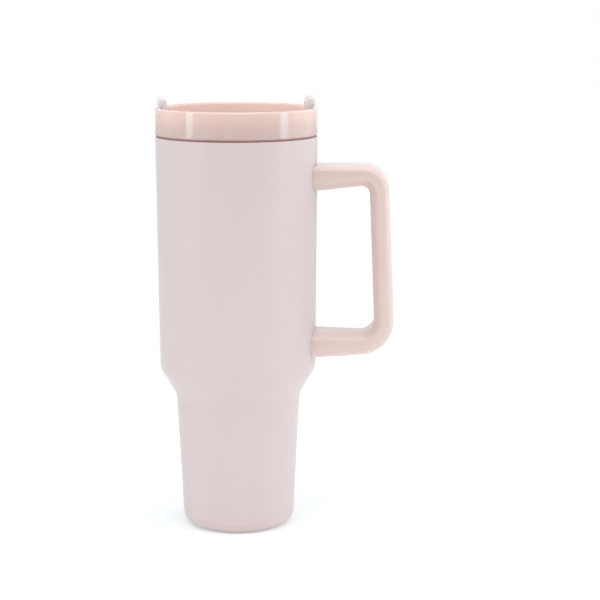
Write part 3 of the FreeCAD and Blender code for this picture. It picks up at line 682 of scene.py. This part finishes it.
# %% Satin handle plastic
def handle_satin():
    finish = Finish("handle_satin", srgb(222, 192, 184), IOR=1.48, Subsurface_Weight=0.25,
                    Subsurface_Radius=SCATTER, Subsurface_Scale=0.006,
                    Coat_Weight=0.6, Coat_Roughness=0.2,
                    Sheen_Weight=0.3, Sheen_Roughness=0.6, Sheen_Tint=(0.9, 0.96, 1, 1))
    finish.drift(finish.noise(40, detail=2), 0.985, 1.015)
    grain = finish.noise(1800, detail=2)
    finish.set("Roughness", 0.3 + grain * 0.09)
    finish.bump(grain, 0.08, 0.00008)
    return finish.material

# %% [markdown]
# The rotating cover is the same family of plastic with little pigment, so its thin ears look
# cloudy and pale.


# %% Cloudy cover plastic
def cover_cloudy():
    finish = Finish("cover_cloudy", srgb(229, 216, 215), IOR=1.49, Subsurface_Weight=0.45,
                    Subsurface_Radius=SCATTER, Subsurface_Scale=0.005)
    wander = finish.noise(60, detail=2)
    finish.drift(wander, 0.98, 1.01)
    finish.set("Roughness", 0.3 + wander * 0.1)
    finish.bump(finish.noise(120, detail=1), 0.05, 0.0003)
    return finish.material

# %% [markdown]
# The gasket and the seals are rose silicone. Its rose is made deeper as painted shade, so that
# the gasket's edge reads as the shaded gap line under the lid's collar. It is matt, and dust
# clings to it in specks.


# %% Rose silicone, deepened as painted shade
def silicone_with_painted_shade():
    # The deep rose is partly the silicone's own colour and partly painted shade for the gap under
    # the collar.
    finish = Finish("silicone_with_painted_shade", srgb(176, 122, 122))
    dust = finish.noise(300, detail=3)
    finish.drift(dust, 0.96, 1.05)
    finish.set("Roughness", 0.5 + dust * 0.2)
    finish.bump(finish.noise(1500), 0.1, 0.00008)
    return finish.material

# %% [markdown]
# The steel inside is brushed round and round. A noise that is stretched along the height would
# stripe it lengthwise, so we squash the noise along Z instead: thin rings, as a lathe leaves.
# The same recipe with a darker tone and coarser rings serves the small steel parts.


# %% Brushed steel
def steel(name, tone, rings):
    finish = Finish(name, (tone, tone * 0.97, tone * 0.96), Metallic=0.8)
    squash = finish.make("ShaderNodeMapping", {},
                         {"Vector": finish.place(), "Scale": (8, 8, rings)})
    lines = finish.noise(1, detail=4, where=squash)
    finish.drift(lines, 0.88, 1.08)
    finish.set("Roughness", 0.22 + lines * 0.16)
    finish.bump(lines, 0.1, 0.00005)
    return finish.material

# %% [markdown]
# Every node names the slot that its finish goes into. The nodes that aren't remodelled keep
# their shape and only get a finish, and the two new pieces take theirs from the same table.

# %% Give every node its finish
finishes = {
    "powder_coat": powder_coat(),
    "lid_plastic": lid_gloss(),
    "handle_plastic": handle_satin(),
    "cover_plastic": cover_cloudy(),
    "silicone": silicone_with_painted_shade(),
    "brushed_steel": steel("brushed_steel", 0.88, 1400),
    "plain_steel": steel("plain_steel", 0.55, 300),
    "seal_bead": steel("seal_bead", 0.4, 200),
}


def dress(piece, slot):
    piece.data.materials.clear()
    piece.data.materials.append(finishes[slot])


for part in frame["record"]["subparts"]:
    dress(frame["nodes"][part["node"]], part["material_slot"])
for piece, slot in ((handle, "handle_plastic"), (cover, "cover_plastic")):
    dress(piece, slot)
print("finishes:", sorted(finishes))

# %% [markdown]
# ## The studio
#
# A pale product on white needs soft light from nearly everywhere. A white world does that, but
# if it lit everything alone, the tumbler would look flat. So the world lights the pieces at
# half strength and the lamps do the shaping. The camera sees it as white. What shines sees a
# white backdrop behind the cup and a dim room in front of it, which blend into each other.

# %% A world that is white to look at
WORLD_LIGHT = 0.5
ROOM = 0.3
BACKDROP = 1.0
BLEND_HALF = 0.4


def make_world():
    """White to the camera. To what shines, a white backdrop and a dim room opposite."""
    world = bpy.data.worlds.new("studio")
    bpy.context.scene.world = world
    world.use_nodes = True
    nodes, links = world.node_tree.nodes, world.node_tree.links
    path = nodes.new("ShaderNodeLightPath")
    direction = nodes.new("ShaderNodeSeparateXYZ")
    links.new(nodes.new("ShaderNodeTexCoord").outputs["Generated"], direction.inputs["Vector"])
    backdrop = nodes.new("ShaderNodeMapRange")
    backdrop.interpolation_type = "SMOOTHSTEP"
    links.new(direction.outputs["Y"], backdrop.inputs["Value"])
    for name, value in (("From Min", -BLEND_HALF), ("From Max", BLEND_HALF),
                        ("To Min", ROOM), ("To Max", BACKDROP)):
        backdrop.inputs[name].default_value = value

    def choose_light(ray, otherwise, light):
        """One light for a kind of ray, and another for all the rest."""
        choice = nodes.new("ShaderNodeMix")
        links.new(path.outputs[ray], choice.inputs["Factor"])
        for socket, value in (("A", otherwise), ("B", light)):
            if isinstance(value, float):
                choice.inputs[socket].default_value = value
            else:
                links.new(value, choice.inputs[socket])
        return choice.outputs["Result"]

    light = choose_light("Is Glossy Ray", WORLD_LIGHT, backdrop.outputs["Result"])
    light = choose_light("Is Transmission Ray", light, 1.0)
    light = choose_light("Is Camera Ray", light, 1.0)
    background = nodes["Background"]
    background.inputs["Color"].default_value = (1, 1, 1, 1)
    links.new(light, background.inputs["Strength"])


make_world()

# %% [markdown]
# The cup stands on white paper. Close to the foot the paper keeps its contact shadow. Farther
# out the camera sees plain white, as if the paper had been lit until it disappeared. A mask is 1
# near the cup and falls to 0 with the distance, and the plain white goes where it is 0.

# %% Paper floor
SWEEP = 6.0
SHADOW_ENDS = 0.16
WHITE_BEGINS = 0.3


def make_floor():
    deselect_all()
    bpy.ops.mesh.primitive_plane_add(size=SWEEP)
    floor = bpy.context.object
    floor.name = "floor"
    paper = Finish("paper", (0.83, 0.82, 0.82), Roughness=0.9, Specular_IOR_Level=0.0)
    paper.set("Emission Color", (0.93, 0.98, 1, 1))
    paper.set("Emission Strength", 0.22)
    distance = paper.make("ShaderNodeVectorMath", {"operation": "LENGTH"}, [paper.place()], "Value")
    near = paper.make("ShaderNodeMapRange", {"interpolation_type": "SMOOTHSTEP"},
                      {"Value": distance, "From Min": SHADOW_ENDS, "From Max": WHITE_BEGINS,
                       "To Min": 1, "To Max": 0})
    seen = paper.make("ShaderNodeLightPath", output="Is Camera Ray")
    white = paper.make("ShaderNodeEmission")
    paper.mix_shaders((1 - near) * seen, white)
    floor.data.materials.append(paper.material)


make_floor()

# %% [markdown]
# The camera stands a metre away, a third of a metre up, and looks slightly down. The handle is
# turned a few degrees towards it.

# %% Camera
CAMERA_DISTANCE = 1.0674
CAMERA_HEIGHT = 0.3344
CAMERA_TURN = math.radians(5.5)
CAMERA_PAN = math.radians(2.106)
CAMERA_TILT = math.radians(10.18)
FOCAL_LENGTH = 103.4


def round_the_cup(distance, turn, height):
    """A point at a distance from the cup's axis. Turn 0 is -Y, and it grows towards +X."""
    return Vector((distance * math.sin(turn), -distance * math.cos(turn), height))


def make_camera():
    data = bpy.data.cameras.new("camera")
    data.lens = FOCAL_LENGTH
    data.sensor_width = 36
    data.clip_start = 0.05
    camera = bpy.data.objects.new("camera", data)
    camera.location = round_the_cup(CAMERA_DISTANCE, CAMERA_TURN, CAMERA_HEIGHT)
    camera.rotation_euler = (math.pi / 2 - CAMERA_TILT, 0, CAMERA_TURN - CAMERA_PAN)
    bpy.context.scene.collection.objects.link(camera)
    bpy.context.scene.camera = camera
    print("camera at", [round(number, 3) for number in camera.location])


make_camera()

# %% [markdown]
# The lamps are flat soft boxes. The big one overhead makes the tops of the handle and the collar
# the brightest surfaces. Two wide panels at the sides, a little behind, lift the cup's flanks,
# so its front is the darkest part. Two narrow strips draw the crisp upright lines in the glossy
# collar, and a small window beside the camera adds a faint one between them. A fill from the
# left softens the shade, and two small lamps brighten the foot and the back of the cup. Those
# two only light the cup and never show as a reflection.


# %% A lamp, and a lamp at the side
def make_lamp(name, place, towards, width, height, radiance, tint):
    """A flat lamp, given by how bright its face looks."""
    data = bpy.data.lights.new(name, "AREA")
    data.shape = "RECTANGLE"
    data.size = width
    data.size_y = height
    data.energy = radiance * width * height * math.pi
    data.color = tint
    lamp = bpy.data.objects.new(name, data)
    lamp.location = place
    lamp.rotation_euler = (towards - place).to_track_quat("-Z", "Y").to_euler()
    bpy.context.scene.collection.objects.link(lamp)
    return lamp


def make_side_lamp(name, side, distance, width, height, radiance, tint, middle=None):
    """An upright lamp at an angle in degrees from the camera's direction.

    It stands on the floor, unless the height of its middle is given.
    """
    if middle is None:
        middle = height / 2 + 0.01
    place = round_the_cup(distance, CAMERA_TURN + math.radians(side), middle)
    return make_lamp(name, place, Vector((0, 0, middle)), width, height, radiance, tint)


# %% Light the cup
SKY = (0.96, 0.98, 1.0)
COOL = (0.58, 0.92, 1.0)
make_lamp("overhead", round_the_cup(0.25, CAMERA_TURN, 1.3), Vector((0, 0, 0)),
          width=1.4, height=1.4, radiance=1.75, tint=SKY)
make_side_lamp("left_panel", -112, 1.0, width=1.1, height=1.1, radiance=0.08, tint=COOL)
make_side_lamp("right_panel", 106, 1.0, width=1.1, height=1.1, radiance=0.78, tint=SKY)
make_side_lamp("left_strip", -67.5, 0.8, width=0.15, height=0.9, radiance=4.2, tint=COOL)
make_side_lamp("right_strip", 68.5, 0.8, width=0.17, height=0.9, radiance=4.2, tint=COOL)
make_side_lamp("left_fill", -48, 1.0, width=0.7, height=1.0, radiance=0.3, tint=SKY)
window_lamp = make_side_lamp("small_window", -11, 0.95, width=0.06, height=0.16, radiance=4,
                             tint=COOL, middle=0.1)
foot_lamp = make_side_lamp("foot_light", 0, 0.3, width=0.3, height=0.06, radiance=1.3,
                           tint=COOL, middle=0.05)
back_lamp = make_lamp("back_light", round_the_cup(0.5, CAMERA_TURN + math.pi, 0.12),
                      Vector((0, 0, 0.25)), width=0.5, height=0.2, radiance=2.4, tint=COOL)
for lamp in (window_lamp, foot_lamp, back_lamp):
    lamp.visible_camera = False
for lamp in (foot_lamp, back_lamp):
    lamp.visible_glossy = False

# %% [markdown]
# ## The end
#
# Last, the scene is shown with the Standard view transform.

# %% Set the view transform
bpy.context.scene.view_settings.view_transform = "Standard"
